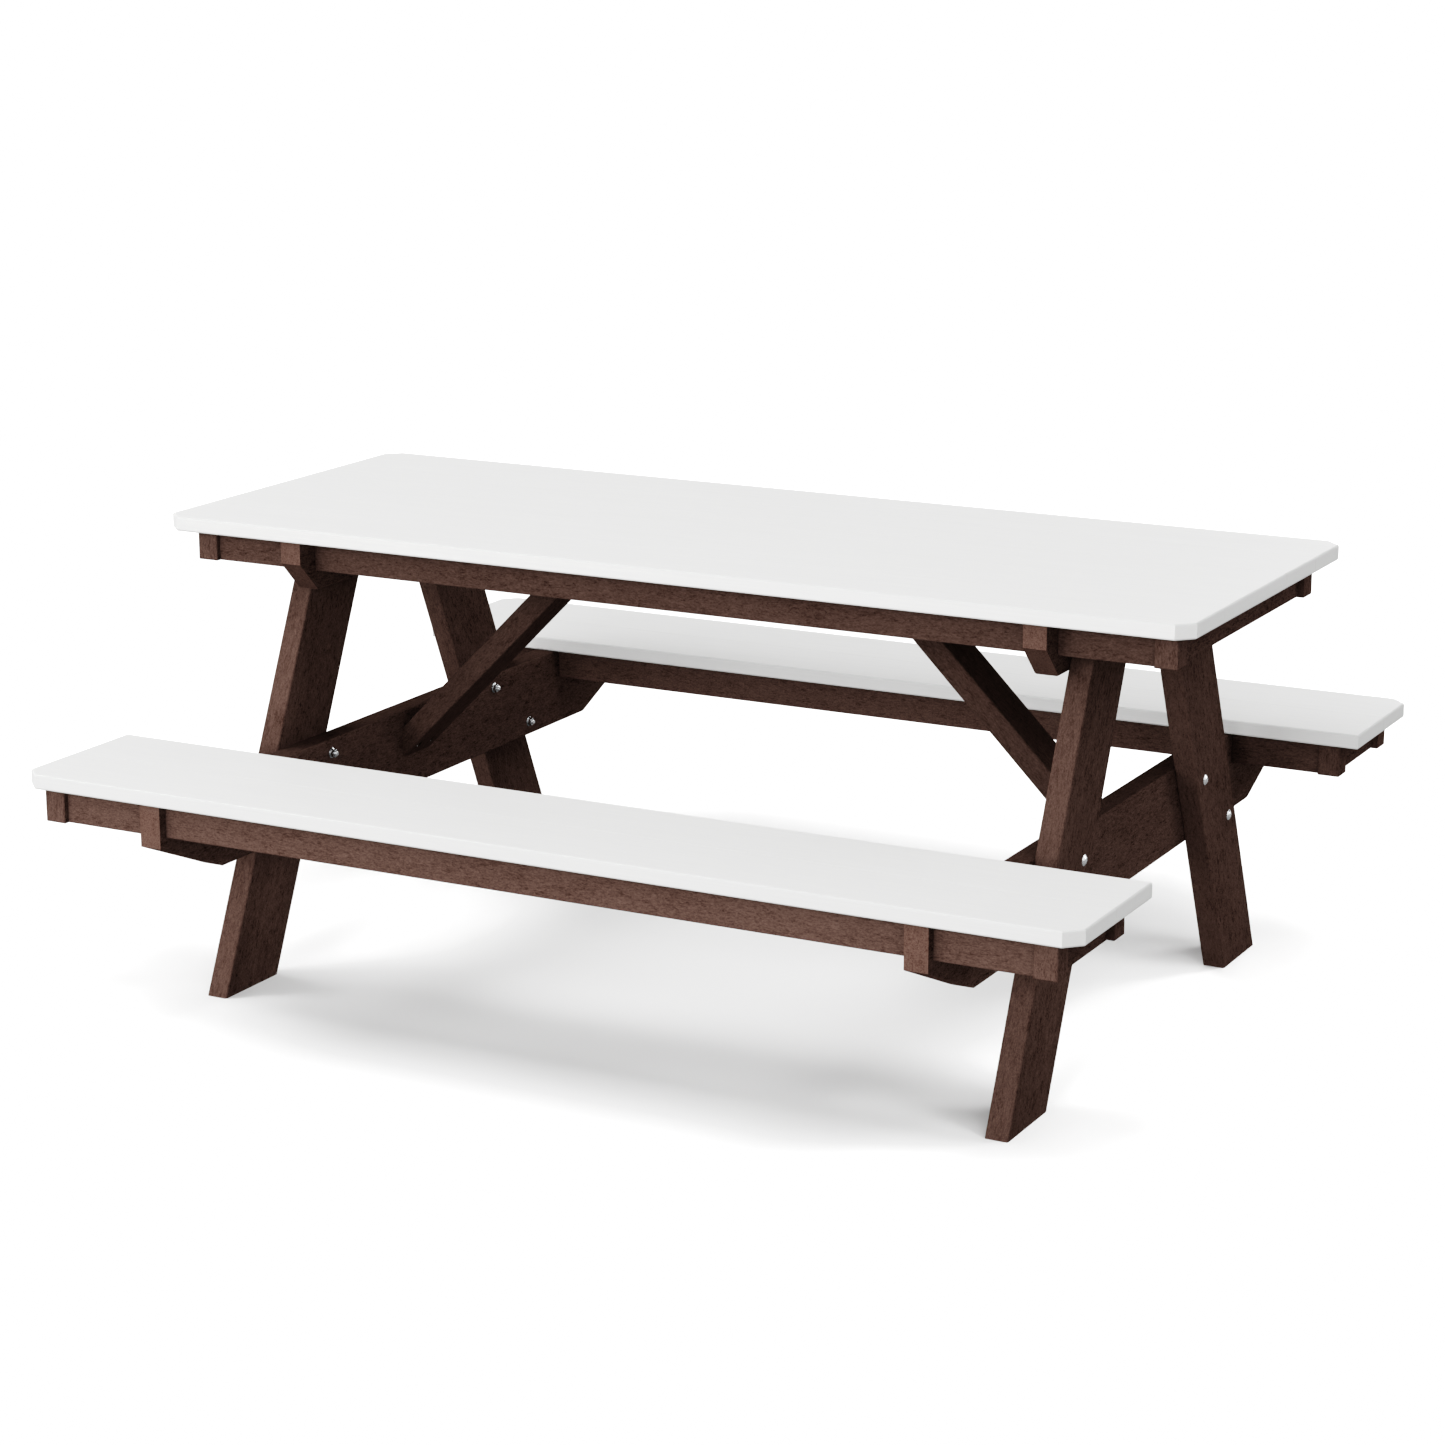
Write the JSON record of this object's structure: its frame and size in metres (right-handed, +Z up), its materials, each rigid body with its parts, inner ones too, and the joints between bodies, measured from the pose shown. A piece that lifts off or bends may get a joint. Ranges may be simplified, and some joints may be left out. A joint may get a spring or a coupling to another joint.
{
  "type": "picnic table",
  "caption": "Rectangular picnic table with white boards on a dark brown A-leg frame, with a fixed bench along each long side, rimmed undersides and diagonal braces.",
  "frame": {"origin": "on the floor plane, under the middle of the table top", "axes": "+X along the boards (the table's length), +Y from the front bench to the back bench, +Z up"},
  "size_m": [1.829, 1.5004, 0.764],
  "materials": {
    "white_lumber": "white plastic lumber, faintly grained, satin",
    "brown_lumber": "dark brown plastic lumber, mottled lengthwise grain, low sheen",
    "steel_hardware": "zinc-plated steel"
  },
  "bodies": {
    "root": {"back_bench_board_inner": "white_lumber", "back_bench_board_outer": "white_lumber", "back_bench_end_rail_left": "brown_lumber", "back_bench_end_rail_right": "brown_lumber", "back_bench_inner_block_left": "brown_lumber", "back_bench_inner_block_right": "brown_lumber", "back_bench_inner_rail_left": "brown_lumber", "back_bench_inner_rail_middle": "brown_lumber", "back_bench_inner_rail_right": "brown_lumber", "back_bench_outer_block_left": "brown_lumber", "back_bench_outer_block_right": "brown_lumber", "back_bench_outer_rail_left": "brown_lumber", "back_bench_outer_rail_middle": "brown_lumber", "back_bench_outer_rail_right": "brown_lumber", "brace_left": "brown_lumber", "brace_right": "brown_lumber", "carriage_bolts": "steel_hardware", "deck_screws": "steel_hardware", "flange_nuts": "steel_hardware", "front_bench_board_inner": "white_lumber", "front_bench_board_outer": "white_lumber", "front_bench_end_rail_left": "brown_lumber", "front_bench_end_rail_right": "brown_lumber", "front_bench_inner_block_left": "brown_lumber", "front_bench_inner_block_right": "brown_lumber", "front_bench_inner_rail_left": "brown_lumber", "front_bench_inner_rail_middle": "brown_lumber", "front_bench_inner_rail_right": "brown_lumber", "front_bench_outer_block_left": "brown_lumber", "front_bench_outer_block_right": "brown_lumber", "front_bench_outer_rail_left": "brown_lumber", "front_bench_outer_rail_middle": "brown_lumber", "front_bench_outer_rail_right": "brown_lumber", "leg_back_left": "brown_lumber", "leg_back_right": "brown_lumber", "leg_front_left": "brown_lumber", "leg_front_right": "brown_lumber", "seat_beam_left": "brown_lumber", "seat_beam_right": "brown_lumber", "top_back_rail_left": "brown_lumber", "top_back_rail_middle": "brown_lumber", "top_back_rail_right": "brown_lumber", "top_board_back": "white_lumber", "top_board_back_inner": "white_lumber", "top_board_front": "white_lumber", "top_board_front_inner": "white_lumber", "top_board_middle": "white_lumber", "top_corner_block_back_left": "brown_lumber", "top_corner_block_back_right": "brown_lumber", "top_corner_block_front_left": "brown_lumber", "top_corner_block_front_right": "brown_lumber", "top_cross_batten_left": "brown_lumber", "top_cross_batten_right": "brown_lumber", "top_cross_beam_left": "brown_lumber", "top_cross_beam_right": "brown_lumber", "top_end_rail_left": "brown_lumber", "top_end_rail_right": "brown_lumber", "top_front_rail_left": "brown_lumber", "top_front_rail_middle": "brown_lumber", "top_front_rail_right": "brown_lumber"}
  },
  "joints": []
}
